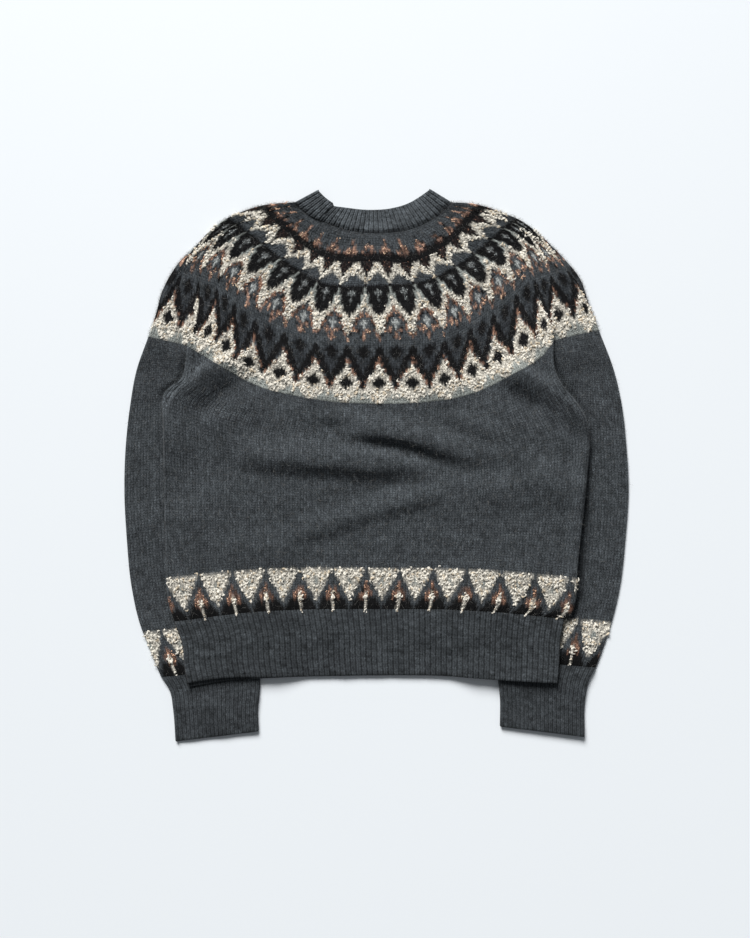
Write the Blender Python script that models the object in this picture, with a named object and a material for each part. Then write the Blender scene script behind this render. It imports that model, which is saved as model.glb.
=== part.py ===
"""A nordic yoke sweater laid flat on a table, back up, its sleeves folded down under the body.

Every piece is a knitted wall through sections worked out from the sizes below. Tables are in
millimetres: x runs across from the middle of the body, y runs up to the neck, z stands on the table.
"""

import math
from collections import namedtuple

import bmesh
import bpy
import numpy as np

MM = 0.001  # a millimetre in metres
Spot = namedtuple("Spot", "x y")
Fold = namedtuple("Fold", "x y half_length half_width height slant")
Rib = namedtuple("Rib", "count height inset")
Mesh = namedtuple("Mesh", "columns under_columns rows inner_step")

# The knit
WALL = 2.4  # thickness of the knit
AIR = 1.0  # between the two layers of a flattened tube
TUBE = 2 * WALL + AIR  # height of a flattened tube
SEAM = 0.3  # between pieces where they are sewn or grafted
OVER_SLEEVE = TUBE + SEAM  # where the body lies on a sleeve
ARC_STEPS = 4  # round the folded edge of a tube
BODY_SPANS = 28  # across the back and the front, and along the yoke above them
SLEEVE_SPANS = (4, 3)  # along the yoke over each sleeve, in its upper and its lower layer
LEAST_SHARE = 0.04  # of a section of the yoke, kept for each sleeve where its lap has run out
CURVE_POINTS = 241
FINE_POINTS = 601

# The yoke: the folds over both shoulders, from the neckband out and down to the sleeves
YOKE_FOLD_LEFT = (
    Spot(-102, 330), Spot(-139, 327), Spot(-176, 315), Spot(-195, 305), Spot(-214, 286),
    Spot(-251, 249), Spot(-269, 215), Spot(-275, 192), Spot(-285, 162),
)  # fmt: skip
YOKE_FOLD_RIGHT = (
    Spot(95, 330), Spot(124, 328), Spot(161, 316), Spot(180, 308), Spot(199, 294),
    Spot(236, 259), Spot(255, 235), Spot(267, 201), Spot(279, 170),
)  # fmt: skip
YOKE_TO_BODY = (
    Spot(-236, 150), Spot(-211, 135), Spot(-167, 109), Spot(-139, 97), Spot(-106, 89), Spot(-60, 81),
    Spot(0, 78), Spot(62, 80), Spot(99, 85), Spot(132, 95), Spot(166, 112), Spot(209, 139), Spot(222, 156),
)  # fmt: skip
LAP_WIDTH = 5  # the body part of the yoke laps over its sleeve parts, and steps down over this width
LAP_RUNS_OUT = 214  # height up the garment at which the lap runs out
UNDERARM = 157

# The neck, from the left shoulder fold to the right one
NECK_SEAM = (
    Spot(-102, 330), Spot(-81, 312), Spot(-65, 305), Spot(-36, 295), Spot(-5, 291),
    Spot(19, 292), Spot(40, 295), Spot(59, 302), Spot(80, 315), Spot(95, 330),
)  # fmt: skip
NECK_TOP = (
    Spot(-74, 345), Spot(-65, 336), Spot(-55, 329), Spot(-34, 323), Spot(-5, 320),
    Spot(19, 322), Spot(40, 328), Spot(56, 337), Spot(69, 346),
)  # fmt: skip
FRONT_NECK_DROP = 28  # the front neck lies this much lower than the back one
NECK_SAG = 14  # over which the back neck comes down to the table, past the front neck's edge

# The body, from the underarms to the hem
SIDE_LEFT = (
    Spot(-236, 150), Spot(-238, 129), Spot(-244, 108), Spot(-256, 100), Spot(-265, 90), Spot(-267, 78),
    Spot(-266, 50), Spot(-265, -5), Spot(-262, -126), Spot(-259, -172), Spot(-252, -194),
)  # fmt: skip
SIDE_RIGHT = (
    Spot(222, 156), Spot(223, 124), Spot(232, 102), Spot(250, 80), Spot(262, 60), Spot(267, 30),
    Spot(264, -12), Spot(251, -141), Spot(249, -171), Spot(244, -184), Spot(235, -191),
)  # fmt: skip
HEM_SEAM = (Spot(-252, -194), Spot(-150, -184), Spot(0, -182), Spot(140, -184), Spot(235, -191))
HEM_LEFT = (Spot(-252, -194), Spot(-242, -221), Spot(-239, -252), Spot(-235, -275))
HEM_RIGHT = (Spot(235, -191), Spot(230, -221), Spot(229, -245), Spot(227, -270))
HEM_EDGE = (Spot(-235, -275), Spot(-120, -268), Spot(0, -267), Spot(120, -267), Spot(227, -270))

# The sleeves, from the yoke to the wrist: the outer fold shows, the inner one lies under the body
SLEEVE_OUTER_LEFT = (
    Spot(-285, 162), Spot(-300, 119), Spot(-308, 74), Spot(-313, 29), Spot(-315, -31),
    Spot(-312, -91), Spot(-306, -151), Spot(-296, -196), Spot(-284, -228), Spot(-269, -264),
)  # fmt: skip
SLEEVE_INNER_LEFT = (
    Spot(-228, 138), Spot(-206, 108), Spot(-170, 72), Spot(-148, 20), Spot(-141, -60), Spot(-144, -252),
)  # fmt: skip
CUFF_OUTER_LEFT = (Spot(-269, -264), Spot(-258, -282), Spot(-254, -305), Spot(-251, -344))
CUFF_INNER_LEFT = (Spot(-144, -252), Spot(-146, -285), Spot(-148, -305), Spot(-147, -331))
SLEEVE_OUTER_RIGHT = (
    Spot(279, 170), Spot(298, 119), Spot(308, 74), Spot(313, 29), Spot(316, -25),
    Spot(312, -91), Spot(305, -151), Spot(296, -190), Spot(286, -222), Spot(275, -252),
)  # fmt: skip
SLEEVE_INNER_RIGHT = (
    Spot(214, 138), Spot(196, 108), Spot(166, 72), Spot(146, 20), Spot(141, -60), Spot(149, -242),
)  # fmt: skip
CUFF_OUTER_RIGHT = (Spot(275, -252), Spot(266, -270), Spot(262, -290), Spot(261, -338))
CUFF_INNER_RIGHT = (Spot(149, -242), Spot(153, -270), Spot(155, -290), Spot(155, -325))
RAMP_START = 18  # past a sleeve's inner fold, the body starts to come down to the table
RAMP = 46  # and over this width it has come down

# Soft folds in the back of the body, as ridges along x
FOLDS = (
    Fold(-66, 8, 112, 13, 6.0, -0.02),
    Fold(24, 40, 62, 11, 3.6, 0.05),
    Fold(-40, -58, 92, 15, 2.6, -0.03),
    Fold(140, 20, 70, 16, 2.8, -0.16),
    Fold(14, -104, 74, 15, 2.0, 0.04),
    Fold(-196, -62, 50, 22, 1.8, 0.20),
    Fold(186, -96, 46, 22, 1.8, -0.22),
    Fold(232, 88, 26, 12, 2.6, -0.80),
)

# The ribs: how many lie across the upper side, their height and how far their valleys sink in
HEM_RIBS = Rib(70, 1.0, 0.9)
NECK_RIBS = Rib(36, 0.9, 0.8)
CUFF_RIBS = Rib(21, 1.0, 0.9)
RIB_PROFILE = ((0.10, 1.0), (0.56, 1.0), (0.83, 0.0))  # place in the repeat, share of the height

CHARCOAL = (0.050, 0.056, 0.061)
YOKE_GREY = (0.110, 0.105, 0.098)


def curve(spots, count=CURVE_POINTS):
    """Points evenly spaced along a smooth curve through the spots of a table."""
    knots = np.array([(s.x, s.y) for s in spots], float)
    at = np.concatenate([[0], np.cumsum(np.linalg.norm(np.diff(knots, axis=0), axis=1))])
    slopes = np.gradient(knots, at, axis=0)
    fine = np.linspace(0, at[-1], 4 * count)
    i = np.clip(np.searchsorted(at, fine) - 1, 0, len(at) - 2)
    span = (at[i + 1] - at[i])[:, None]
    t = (fine - at[i])[:, None] / span
    points = (
        (2 * t**3 - 3 * t**2 + 1) * knots[i]
        + (t**3 - 2 * t**2 + t) * span * slopes[i]
        + (3 * t**2 - 2 * t**3) * knots[i + 1]
        + (t**3 - t**2) * span * slopes[i + 1]
    )
    return evenly(points, np.linspace(0, 1, count))


def evenly(points, shares):
    """The points at these shares of a polyline's length."""
    along = np.concatenate([[0], np.cumsum(np.linalg.norm(np.diff(points, axis=0), axis=1))])
    return np.stack([np.interp(np.asarray(shares) * along[-1], along, points[:, k]) for k in (0, 1)], axis=1)


def lap_ends(line):
    """The foot and the top of a lap, at the start of the line along which the yoke meets the body."""
    way = (line[0] - line[1]) / np.linalg.norm(line[0] - line[1])
    return line[0] + way * (LAP_WIDTH - TUBE / 2), line[0] - way * TUBE / 2


def smooth_step(low, high, value):
    t = np.clip((value - low) / (high - low), 0, 1)
    return t * t * (3 - 2 * t)


def patch(top, bottom, left, right, rows):
    """Rows of points across the area between four curves, the first along top, the last along bottom."""
    s = np.linspace(0, 1, len(top))[:, None]
    made = []
    for v in rows:
        a = left[int(round(v * (len(left) - 1)))]
        b = right[int(round(v * (len(right) - 1)))]
        corners = (1 - v) * ((1 - s) * top[0] + s * top[-1]) + v * ((1 - s) * bottom[0] + s * bottom[-1])
        made.append((1 - v) * top + v * bottom + (1 - s) * a + s * b - corners)
    return made


LAP_FOOT_LEFT, LAP_TOP_LEFT = lap_ends(curve(YOKE_TO_BODY))
LAP_FOOT_RIGHT, LAP_TOP_RIGHT = lap_ends(curve(YOKE_TO_BODY)[::-1])

# What lies under each place of the garment


def inner_fold(side, y):
    """Where a sleeve's inner fold lies at this height up the garment."""
    spots = SLEEVE_INNER_LEFT if side == "left" else SLEEVE_INNER_RIGHT
    line = curve(spots)[::-1]
    return np.interp(y, line[:, 1], line[:, 0])


def on_sleeves(x, y):
    """How far the body stands off the table, because the sleeves lie under it."""
    total = np.zeros_like(x)
    for side, sign in (("left", -1), ("right", 1)):
        past = sign * (inner_fold(side, y) - x)
        total += OVER_SLEEVE * (1 - smooth_step(RAMP_START, RAMP_START + RAMP, past))
    return total


def lapped(x, y):
    """How far the yoke stands off the table: its body part laps over its sleeve parts."""
    from_left = smooth_step(LAP_FOOT_LEFT[0], LAP_TOP_LEFT[0], x)
    from_right = smooth_step(LAP_FOOT_RIGHT[0], LAP_TOP_RIGHT[0], x)
    return on_sleeves(x, y) * from_left * from_right * smooth_step(LAP_RUNS_OUT, UNDERARM, y)


def back_folds(x, y):
    total = np.zeros_like(x)
    for f in FOLDS:
        across = (y - f.y - f.slant * (x - f.x)) / f.half_width
        total += f.height * np.exp(-(((x - f.x) / f.half_length) ** 4) - across**2)
    return total


def front_neck(points):
    """A curve of the back neck moved down to the front one, most in the middle."""
    s = np.linspace(0, 1, len(points))
    lower = points.copy()
    lower[:, 1] -= FRONT_NECK_DROP * np.sin(math.pi * s)
    return lower


FRONT_NECK_EDGE = front_neck(curve(NECK_TOP))


def covered(x, y):
    """1 where a lower layer lies under the upper one, and 0 inside the front neck's opening."""
    edge = np.interp(x, FRONT_NECK_EDGE[:, 0], FRONT_NECK_EDGE[:, 1], left=np.inf, right=np.inf)
    return 1 - smooth_step(0, NECK_SAG, y - edge)


# Walls


def plain_height(x, y):
    return np.zeros_like(x)


def section(upper, lower, shares, under_shares, ground, bulge, ribs):
    """The outer and the inner loop of one section of a flattened tube."""
    radius = TUBE / 2
    length = np.linalg.norm(np.diff(upper, axis=0), axis=1).sum()
    under_length = np.linalg.norm(np.diff(lower, axis=0), axis=1).sum()
    margin, under_margin = radius / length, radius / under_length
    over = evenly(upper, margin + (1 - 2 * margin) * np.asarray(shares))
    under = evenly(lower, under_margin + (1 - 2 * under_margin) * np.asarray(under_shares))
    stand, under_stand = ground(over[:, 0], over[:, 1]), ground(under[:, 0], under[:, 1])
    cover = covered(over[:, 0], over[:, 1])
    top = stand + WALL + (WALL + AIR) * cover + bulge(over[:, 0], over[:, 1])
    outer_top, inner_top = top, top - WALL
    if ribs:
        ridge = np.array([RIB_PROFILE[k % 3][1] for k in range(len(over) - 2)])
        ridge = np.concatenate([[0.5], ridge, [0.5]])
        outer_top = top - ribs.inset + ribs.height * ridge
    outer, inner = [], []
    outer += [(*p, z) for p, z in zip(over, outer_top)]
    inner += [(*p, z) for p, z in zip(over, inner_top)]
    ends = ((over[-1], under[-1], stand[-1]), (under[0], over[0], stand[0]))
    tips = ((upper[-1] + lower[-1]) / 2, (upper[0] + lower[0]) / 2)
    angles = [math.pi / 2 - math.pi * k / ARC_STEPS for k in range(1, ARC_STEPS)]
    for turn, ((start, end, floor), tip) in enumerate(zip(ends, tips)):
        way = tip - (start + end) / 2
        way /= np.linalg.norm(way)
        for angle in angles:
            sine = math.sin(angle) if turn == 0 else -math.sin(angle)
            share = 0.5 + 0.5 * sine
            centre = share * (start if turn == 0 else end) + (1 - share) * (end if turn == 0 else start)
            for loop, r in ((outer, radius), (inner, radius - WALL)):
                loop.append((*(centre + way * r * math.cos(angle)), floor + radius + r * sine))
        if turn == 0:
            outer += [(*p, z) for p, z in zip(under[::-1], under_stand[::-1])]
            inner += [(*p, z + WALL) for p, z in zip(under[::-1], under_stand[::-1])]
    return np.array(outer), np.array(inner)


def part_at_seams(rows):
    """Moves the first and the last section apart from the next piece by half a seam."""
    for end, near in ((0, 1), (-1, -2)):
        way = rows[near] - rows[end]
        rows[end] += way / np.linalg.norm(way, axis=1)[:, None] * SEAM / 2
    return rows


def solid(name, outer, inner, colour, closed):
    """A wall between two grids of points: a ring when closed, else a panel with two side edges."""
    rows, columns = outer.shape[:2]
    inner_rows = inner.shape[0]
    step = (rows - 1) // (inner_rows - 1)
    points = np.concatenate([outer.reshape(-1, 3), inner.reshape(-1, 3)]) * MM
    first_inner = rows * columns
    faces = []

    def out(i, j):
        return i * columns + j % columns

    def back(i, j):
        return first_inner + i * columns + j % columns

    spans = columns if closed else columns - 1
    for j in range(spans):
        faces += [(out(i, j), out(i, j + 1), out(i + 1, j + 1), out(i + 1, j)) for i in range(rows - 1)]
        faces += [
            (back(i, j), back(i + 1, j), back(i + 1, j + 1), back(i, j + 1)) for i in range(inner_rows - 1)
        ]
        faces.append((out(0, j), back(0, j), back(0, j + 1), out(0, j + 1)))
        end, inner_end = rows - 1, inner_rows - 1
        faces.append((out(end, j), out(end, j + 1), back(inner_end, j + 1), back(inner_end, j)))
    if not closed:
        for j in (0, columns - 1):
            for i in range(inner_rows - 1):
                run = [out(i * step + k, j) for k in range(step + 1)]
                face = run + [back(i + 1, j), back(i, j)]
                faces.append(tuple(face if j == 0 else face[::-1]))
    mesh = bpy.data.meshes.new(name)
    mesh.from_pydata(points.tolist(), [], faces)
    work = bmesh.new()
    work.from_mesh(mesh)
    bmesh.ops.recalc_face_normals(work, faces=work.faces)
    bmesh.ops.triangulate(work, faces=work.faces)
    work.to_mesh(mesh)
    work.free()
    piece = bpy.data.objects.new(name, mesh)
    bpy.context.scene.collection.objects.link(piece)
    mesh.materials.append(colour)
    mesh.shade_smooth()
    return piece


def knit(name, rgb, roughness=0.95):
    material = bpy.data.materials.new(name)
    material.use_nodes = True
    shader = material.node_tree.nodes["Principled BSDF"]
    shader.inputs["Base Color"].default_value = (*rgb, 1)
    shader.inputs["Roughness"].default_value = roughness
    shader.inputs["Metallic"].default_value = 0
    return material


def rib_shares(count):
    inside = [(k + place) / count for k in range(count) for place, _ in RIB_PROFILE]
    return [0.0, *inside, 1.0]


def tube(upper_rows, lower_rows, grid, ground, bulge=plain_height, ribs=None, shares=None, under_shares=None):
    """The outer and inner grids of a flattened tube. Shares may be one list, or a list for each row."""
    if ribs:
        shares = rib_shares(ribs.count)
    shares = np.linspace(0, 1, grid.columns + 1) if shares is None else shares
    under_shares = np.linspace(0, 1, grid.under_columns + 1) if under_shares is None else under_shares
    loops = []
    for k, (upper, lower) in enumerate(zip(upper_rows, lower_rows)):
        mine = shares[k] if np.ndim(shares) == 2 else shares
        under = under_shares[k] if np.ndim(under_shares) == 2 else under_shares
        loops.append(section(upper, lower, mine, under, ground, bulge, ribs))
    outer = part_at_seams(np.array([loop[0] for loop in loops]))
    inner = part_at_seams(np.array([loop[1] for loop in loops]))
    return outer, inner[:: grid.inner_step]


def make_ring(name, colour, upper_rows, lower_rows, grid, ground, **more):
    outer, inner = tube(upper_rows, lower_rows, grid, ground, **more)
    return solid(name, outer, inner, colour, closed=True)


# The pieces


def yoke_edge():
    """The yoke's lower edge: straight along each sleeve, and curved along the body between them."""
    stretches = (
        np.linspace(YOKE_FOLD_LEFT[-1], LAP_FOOT_LEFT, CURVE_POINTS),
        curve(YOKE_TO_BODY, FINE_POINTS),
        np.linspace(LAP_FOOT_RIGHT, YOKE_FOLD_RIGHT[-1], CURVE_POINTS),
    )
    return np.concatenate(stretches)


def lap_shares(row, side_spans):
    """Shares along a row of the yoke: some over each sleeve, a step at each lap, the rest as on the body."""
    along = np.concatenate([[0], np.cumsum(np.linalg.norm(np.diff(row, axis=0), axis=1))])
    length = along[-1] - TUBE
    marks = [
        (np.interp(x, row[:, 0], along) - TUBE / 2) / length
        for x, _ in (LAP_FOOT_LEFT, LAP_TOP_LEFT, LAP_TOP_RIGHT, LAP_FOOT_RIGHT)
    ]
    foot = max(marks[0], LEAST_SHARE)
    top = max(marks[1], foot + LAP_WIDTH / length)
    far_foot = min(marks[3], 1 - LEAST_SHARE)
    far_top = min(marks[2], far_foot - LAP_WIDTH / length)
    return np.concatenate([
        np.linspace(0, foot, side_spans + 1),
        np.linspace(top, far_top, BODY_SPANS + 1),
        np.linspace(far_foot, 1, side_spans + 1),
    ])


def make_yoke(colour):
    grid = Mesh(0, 0, 13, 3)
    rows = np.linspace(0, 1, grid.rows)
    left, right = curve(YOKE_FOLD_LEFT, FINE_POINTS), curve(YOKE_FOLD_RIGHT, FINE_POINTS)
    edge = yoke_edge()
    seam = curve(NECK_SEAM, len(edge))
    upper = patch(seam, edge, left, right, rows)
    lower = patch(front_neck(seam), edge, left, right, rows)
    shares = np.array([lap_shares(row, SLEEVE_SPANS[0]) for row in upper])
    under = np.array([lap_shares(row, SLEEVE_SPANS[1]) for row in lower])
    return make_ring("yoke", colour, upper, lower, grid, lapped, shares=shares, under_shares=under)


def make_neckband(colour):
    grid = Mesh(0, 38, 4, 1)  # its inner side follows every row, because the back neck comes down steeply
    rows = np.linspace(0, 1, grid.rows)
    seam, top = curve(NECK_SEAM), curve(NECK_TOP)
    left = np.linspace(seam[0], top[0], len(seam))
    right = np.linspace(seam[-1], top[-1], len(seam))
    upper = patch(seam, top, left, right, rows)
    lower = patch(front_neck(seam), front_neck(top), left, right, rows)
    return make_ring("neckband", colour, upper[::-1], lower[::-1], grid, plain_height, ribs=NECK_RIBS)


def make_body(colour):
    grid = Mesh(BODY_SPANS, BODY_SPANS, 31, 3)
    rows = np.linspace(0, 1, grid.rows)
    across = patch(curve(YOKE_TO_BODY), curve(HEM_SEAM), curve(SIDE_LEFT), curve(SIDE_RIGHT), rows)
    outer, inner = tube(across, across, grid, on_sleeves, bulge=back_folds)
    half = ARC_STEPS // 2
    seam_left = outer.shape[1] - half
    seam_right = grid.columns + half
    halves = {
        "back_panel": list(range(seam_left, outer.shape[1])) + list(range(seam_right + 1)),
        "front_panel": list(range(seam_right, seam_left + 1)),
    }
    made = []
    for name, columns in halves.items():
        walls = [outer[:, columns].copy(), inner[:, columns].copy()]
        for wall in walls:
            wall[:, [0, -1], 2] += SEAM / 2 if name == "back_panel" else -SEAM / 2
        if name == "front_panel":
            walls[0] = walls[0][:: grid.inner_step]
        made.append(solid(name, *walls, colour, closed=False))
    return made


def make_hem(colour):
    grid = Mesh(0, 34, 4, 3)
    rows = np.linspace(0, 1, grid.rows)
    across = patch(curve(HEM_SEAM), curve(HEM_EDGE), curve(HEM_LEFT), curve(HEM_RIGHT), rows)
    return make_ring("hem_rib", colour, across, across, grid, on_sleeves, ribs=HEM_RIBS)


def make_sleeve(side, colour):
    outer, inner = {
        "left": (SLEEVE_OUTER_LEFT, SLEEVE_INNER_LEFT),
        "right": (SLEEVE_OUTER_RIGHT, SLEEVE_INNER_RIGHT),
    }[side]
    grid = Mesh(12, 10, 13, 3)
    rows = np.linspace(0, 1, grid.rows)
    sides = [curve(outer), curve(inner)]
    if side == "right":
        sides = sides[::-1]
    foot = LAP_FOOT_LEFT if side == "left" else LAP_FOOT_RIGHT
    top = evenly(np.array([sides[0][0], foot, sides[1][0]]), np.linspace(0, 1, CURVE_POINTS))
    bottom = np.linspace(sides[0][-1], sides[1][-1], len(top))
    across = patch(top, bottom, *sides, rows)
    return make_ring(f"{side}_sleeve", colour, across, across, grid, plain_height)


def make_cuff(side, colour):
    outer, inner = {
        "left": (CUFF_OUTER_LEFT, CUFF_INNER_LEFT),
        "right": (CUFF_OUTER_RIGHT, CUFF_INNER_RIGHT),
    }[side]
    grid = Mesh(0, 12, 4, 3)
    rows = np.linspace(0, 1, grid.rows)
    sides = [curve(outer), curve(inner)]
    if side == "right":
        sides = sides[::-1]
    seam = np.linspace(sides[0][0], sides[1][0], len(sides[0]))
    edge = np.linspace(sides[0][-1], sides[1][-1], len(sides[0]))
    across = patch(seam, edge, *sides, rows)
    return make_ring(f"{side}_cuff", colour, across, across, grid, plain_height, ribs=CUFF_RIBS)


def clear_scene():
    for thing in list(bpy.data.objects):
        bpy.data.objects.remove(thing, do_unlink=True)


def main():
    clear_scene()
    make_yoke(knit("yoke_knit", YOKE_GREY))
    make_neckband(knit("neck_rib_knit", CHARCOAL))
    make_body(knit("body_knit", CHARCOAL))
    make_hem(knit("hem_rib_knit", CHARCOAL))
    for side in ("left", "right"):
        make_sleeve(side, knit(f"{side}_sleeve_knit", CHARCOAL))
        make_cuff(side, knit(f"{side}_cuff_knit", CHARCOAL))


main()
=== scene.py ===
import math

import bpy
import numpy as np
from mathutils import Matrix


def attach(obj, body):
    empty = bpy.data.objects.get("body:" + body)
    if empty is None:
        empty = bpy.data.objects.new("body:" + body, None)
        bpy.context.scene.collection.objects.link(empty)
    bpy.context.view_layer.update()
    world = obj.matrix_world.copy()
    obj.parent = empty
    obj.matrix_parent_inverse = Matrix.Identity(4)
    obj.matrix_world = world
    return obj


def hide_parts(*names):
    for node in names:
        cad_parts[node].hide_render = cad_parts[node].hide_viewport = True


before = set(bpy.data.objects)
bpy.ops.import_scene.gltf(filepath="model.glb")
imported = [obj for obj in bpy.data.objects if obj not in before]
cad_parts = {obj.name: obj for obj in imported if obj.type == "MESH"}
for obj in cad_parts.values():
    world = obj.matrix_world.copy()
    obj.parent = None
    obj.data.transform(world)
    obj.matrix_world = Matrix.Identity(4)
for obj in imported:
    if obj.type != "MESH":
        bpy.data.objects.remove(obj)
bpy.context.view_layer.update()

print("frame loaded:", ", ".join(sorted(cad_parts)))

mm = 0.001
dice = np.random.default_rng(11)

# The cloth, in millimetres. x runs across from the middle of the body, y up to the neck, z off the table.
cloth = {
    "wall": 2.4,  # thickness of the knit
    "air": 1.0,  # between the two layers of a flattened tube
    "overSleeve": 6.1,  # how far the body stands off the table where it lies on a sleeve
    "rampStart": 18,  # past a sleeve's inner fold the body starts to come down
    "ramp": 46,  # and over this width it has come down
    "lapWidth": 5,
    "lapTop": 214,  # height up the garment at which the laps run out
    "underarm": 157,
    "neckDrop": 28,  # the front neck lies this much lower than the back one
    "neckSag": 14,
    "legHeight": 1.1,  # how far the legs of a stitch stand out
    "lean": 0.5,  # how far the legs rise toward the edges of a wale, in courses
    "uneven": 0.26,
    "course": 2.9,  # height of a course, where only a rough one is needed
    "sway": (0.05, 0.09),  # how far a leg wanders, in wales and courses
    "fray": (0.13, 0.22),  # and how far its colour runs into its neighbours
    "least": 0.3,  # nothing lies nearer to the table
    "seamPaintedShade": 0.3,  # painted shade: how much darker the colour is made in the groove where a seam pulls the cloth down, for each millimetre of the dip
    # the most painted shade at a seam
    "seamPaintedShadeMost": 0.6,
    "seamReach": 3.2,
    "swell": 0.45,  # height of a stitch at its ends, as a share of its middle
    "sunk": 0.6,  # the part of a leg's height that lies inside the wall
    "edgeRelief": 0.3,  # share of the relief that is left at a folded edge
    "underRelief": 0.3,
    "faceTone": 0.5,  # how much a stitch differs within itself, as a share of its yarn's spread
    "tones": (0.45, 1.7),  # least and most
}
tubeHeight = 2 * cloth["wall"] + cloth["air"]
foldRadius = tubeHeight / 2
lineSpots = 481  # evenly spaced along each line of the outline

# Yarn colours as red, green, blue out of 255, and how much a stitch may differ from the next
yarns = {
    "c": {"rgb": (61, 65, 68), "spread": 0.22},  # charcoal heather
    "k": {"rgb": (13, 13, 14), "spread": 0.22},  # black
    "w": {"rgb": (177, 172, 161), "spread": 0.14},  # cream
    "r": {"rgb": (112, 84, 70), "spread": 0.5},  # rust
    "g": {"rgb": (132, 136, 132), "spread": 0.16},  # silver
    "s": {"rgb": (98, 101, 101), "spread": 0.2},  # silver sunk in black
    "b": {"rgb": (148, 151, 149), "spread": 0.12},  # bright silver
    "d": {"rgb": (44, 47, 50), "spread": 0.3},  # charcoal between the black wedges
    "n": {"rgb": (44, 33, 30), "spread": 0.5},  # rust sunk in black
    "p": {"rgb": (128, 100, 86), "spread": 0.5},  # rust with paler specks
}
yarnLetters = "".join(yarns)
yarnOf = {letter: number for number, letter in enumerate(yarnLetters)}


def linear(rgb):
    part = np.asarray(rgb, float) / 255
    return np.where(part <= 0.04045, part / 12.92, ((part + 0.055) / 1.055) ** 2.4)


yarnColours = np.array([linear(yarns[letter]["rgb"]) for letter in yarnLetters])
yarnSpreads = np.array([yarns[letter]["spread"] for letter in yarnLetters])


# Lines and areas


def smoothStep(low, high, value):
    t = np.clip((value - low) / (high - low), 0, 1)
    return t * t * (3 - 2 * t)


def hermite(knots, values, at):
    # a smooth line through the knots, read at these places
    knots = np.asarray(knots, float)
    values = np.asarray(values, float)
    slopes = np.gradient(values, knots, axis=0)
    i = np.clip(np.searchsorted(knots, at) - 1, 0, len(knots) - 2)
    span = knots[i + 1] - knots[i]
    t = (at - knots[i]) / span
    shape = t.shape + (1,) * (values.ndim - 1)
    t, span = t.reshape(shape), span.reshape(shape)
    start = (2 * t**3 - 3 * t**2 + 1) * values[i] + (t**3 - 2 * t**2 + t) * span * slopes[i]
    return start + (3 * t**2 - 2 * t**3) * values[i + 1] + (t**3 - t**2) * span * slopes[i + 1]


def lengths(points):
    return np.concatenate([[0], np.cumsum(np.linalg.norm(np.diff(points, axis=0), axis=1))])


def curveThrough(spots, count=lineSpots):
    spots = np.asarray(spots, float)
    at = lengths(spots)
    fine = hermite(at, spots, np.linspace(0, at[-1], 4 * count))
    far = lengths(fine)
    shares = np.linspace(0, far[-1], count)
    return np.stack([np.interp(shares, far, fine[:, k]) for k in (0, 1)], axis=1)


def along(line, share):
    # points at these shares of an evenly spaced line
    at = np.clip(share, 0, 1) * (len(line) - 1)
    places = np.arange(len(line))
    return np.stack([np.interp(at, places, line[:, k]) for k in (0, 1)], axis=-1)


def onGrid(grid, a, b, eased=False):
    # what a grid holds between its knots, at these row and column numbers
    i = np.clip(np.floor(a).astype(int), 0, grid.shape[0] - 2)
    j = np.clip(np.floor(b).astype(int), 0, grid.shape[1] - 2)
    p, q = a - i, b - j
    if eased:
        p, q = p * p * (3 - 2 * p), q * q * (3 - 2 * q)
    if grid.ndim > 2:
        p, q = p[..., None], q[..., None]
    near = grid[i, j] * (1 - q) + grid[i, j + 1] * q
    far = grid[i + 1, j] * (1 - q) + grid[i + 1, j + 1] * q
    return near * (1 - p) + far * p


def between(top, bottom, left, right, hold=1):
    # the area between four curves: s runs from left to right, v from top to bottom.
    # With a higher hold the bends of the left and right curves reach less far inward.
    def place(s, v):
        a, b = s[..., None], v[..., None]
        rows = (1 - b) * along(top, s) + b * along(bottom, s)
        fromLeft = along(left, v) - (1 - b) * top[0] - b * bottom[0]
        fromRight = along(right, v) - (1 - b) * top[-1] - b * bottom[-1]
        return rows + (1 - a) ** hold * fromLeft + a**hold * fromRight

    return place


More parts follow.
